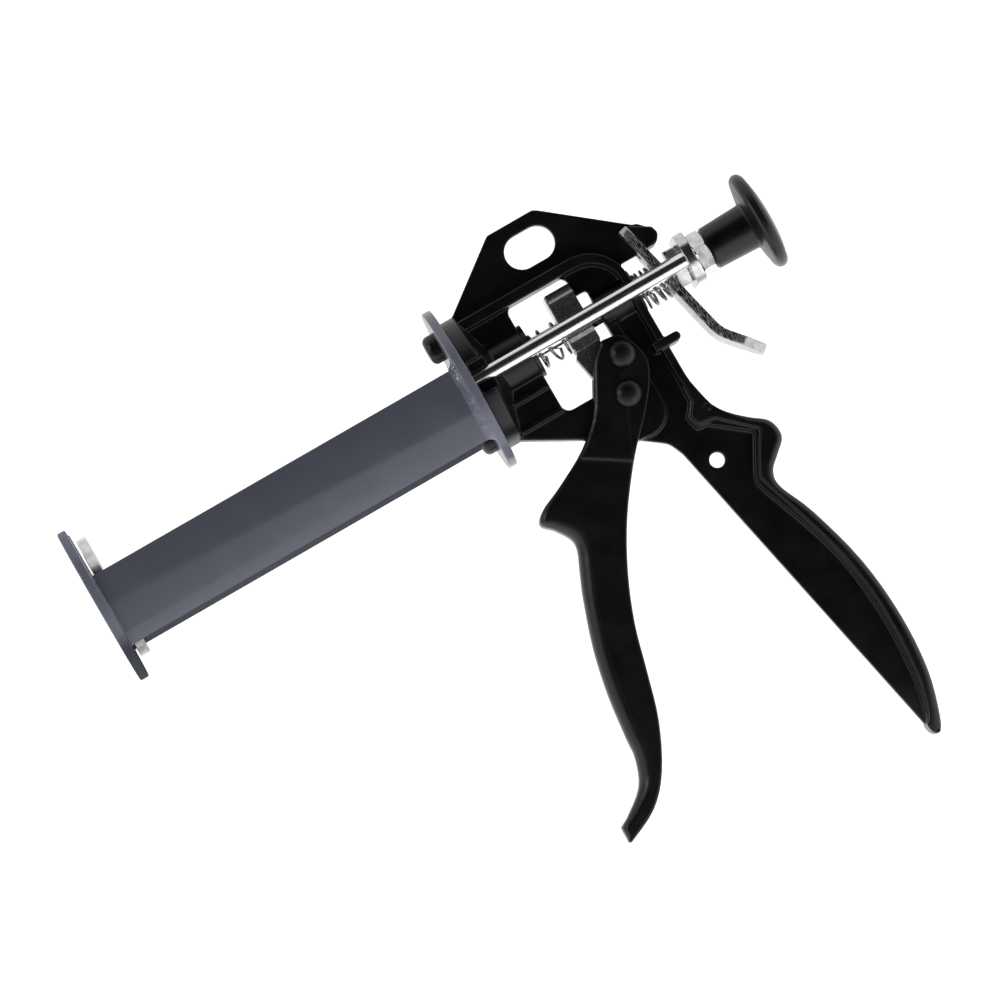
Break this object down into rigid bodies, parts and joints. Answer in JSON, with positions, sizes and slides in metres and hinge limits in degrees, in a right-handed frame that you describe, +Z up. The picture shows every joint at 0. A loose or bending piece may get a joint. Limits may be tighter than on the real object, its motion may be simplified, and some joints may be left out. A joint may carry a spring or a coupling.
{
  "type": "cartridge dispensing gun",
  "caption": "Manual dispensing gun for coaxial resin cartridges: open steel cradle, disc piston on a drive rod with guide rods, cast handle, pivoting trigger, release lever and pull knob.",
  "frame": {"origin": "where the drive rod's axis crosses the front face of the rear cradle plate", "axes": "+X along the drive rod from the nozzle end towards the pull knob, +Z up with the handles hanging down, +Y to the user's right"},
  "size_m": [0.3238, 0.074, 0.2734],
  "materials": {
    "black_casting": "satin black powder coat on die-cast aluminium",
    "grey_paint": "satin bluish grey paint on sheet steel",
    "black_steel": "black oxide",
    "dark_steel": "dark bare steel",
    "zinc_steel": "blotchy zinc plating",
    "zinc_lever": "zinc plating with rough sheared edges",
    "spring_steel": "bright spring wire",
    "bright_rod": "bright zinc-plated drawn rod",
    "black_plastic": "satin moulded plastic"
  },
  "bodies": {
    "frame": {"frame_casting": "black_casting", "rear_plate": "grey_paint", "front_plate": "grey_paint", "left_rail": "grey_paint", "right_rail": "grey_paint", "weld_beads": "grey_paint", "plate_screws": "black_steel", "front_bush": "black_steel", "rear_bush": "black_steel", "pivot_rivet": "black_steel", "front_spring": "spring_steel", "rear_spring": "spring_steel"},
    "trigger": {"trigger": "black_casting", "drive_rivet": "black_steel", "drive_sleeve": "dark_steel"},
    "dog": {"drive_dog": "dark_steel", "dog_washer": "zinc_steel"},
    "release_lever": {"release_lever": "zinc_lever"},
    "ram": {"drive_rod": "bright_rod", "side_rods": "bright_rod", "piston": "zinc_steel", "piston_screw": "zinc_steel", "front_nut": "zinc_steel", "yoke": "zinc_steel", "yoke_washer": "zinc_steel", "rear_nut": "zinc_steel", "knob": "black_plastic"}
  },
  "joints": [
    {"name": "trigger_squeeze", "type": "hinge", "parent": "frame", "child": "trigger", "pos_m": [0.0581, 0, -0.036], "axis": [0, -1, 0], "range_deg": [0, 30], "stiffness_Nm_per_rad": 1.5, "springref_deg": -17.19},
    {"name": "dog_slide", "type": "slide", "parent": "frame", "child": "dog", "axis": [-1, 0, 0], "range_m": [0, 0.0087], "deforming": ["front_spring"]},
    {"name": "lever_release", "type": "hinge", "parent": "frame", "child": "release_lever", "pos_m": [0.0922, 0, 0.0243], "axis": [0, 1, 0], "range_deg": [0, 7], "stiffness_Nm_per_rad": 1.2, "springref_deg": -22.92, "deforming": ["rear_spring"]},
    {"name": "ram_slide", "type": "slide", "parent": "frame", "child": "ram", "axis": [1, 0, 0], "range_m": [0, 0.161]}
  ],
  "couplings": [
    {"joint": "dog_slide", "follows": "trigger_squeeze", "m_per_rad": 0.0164}
  ]
}
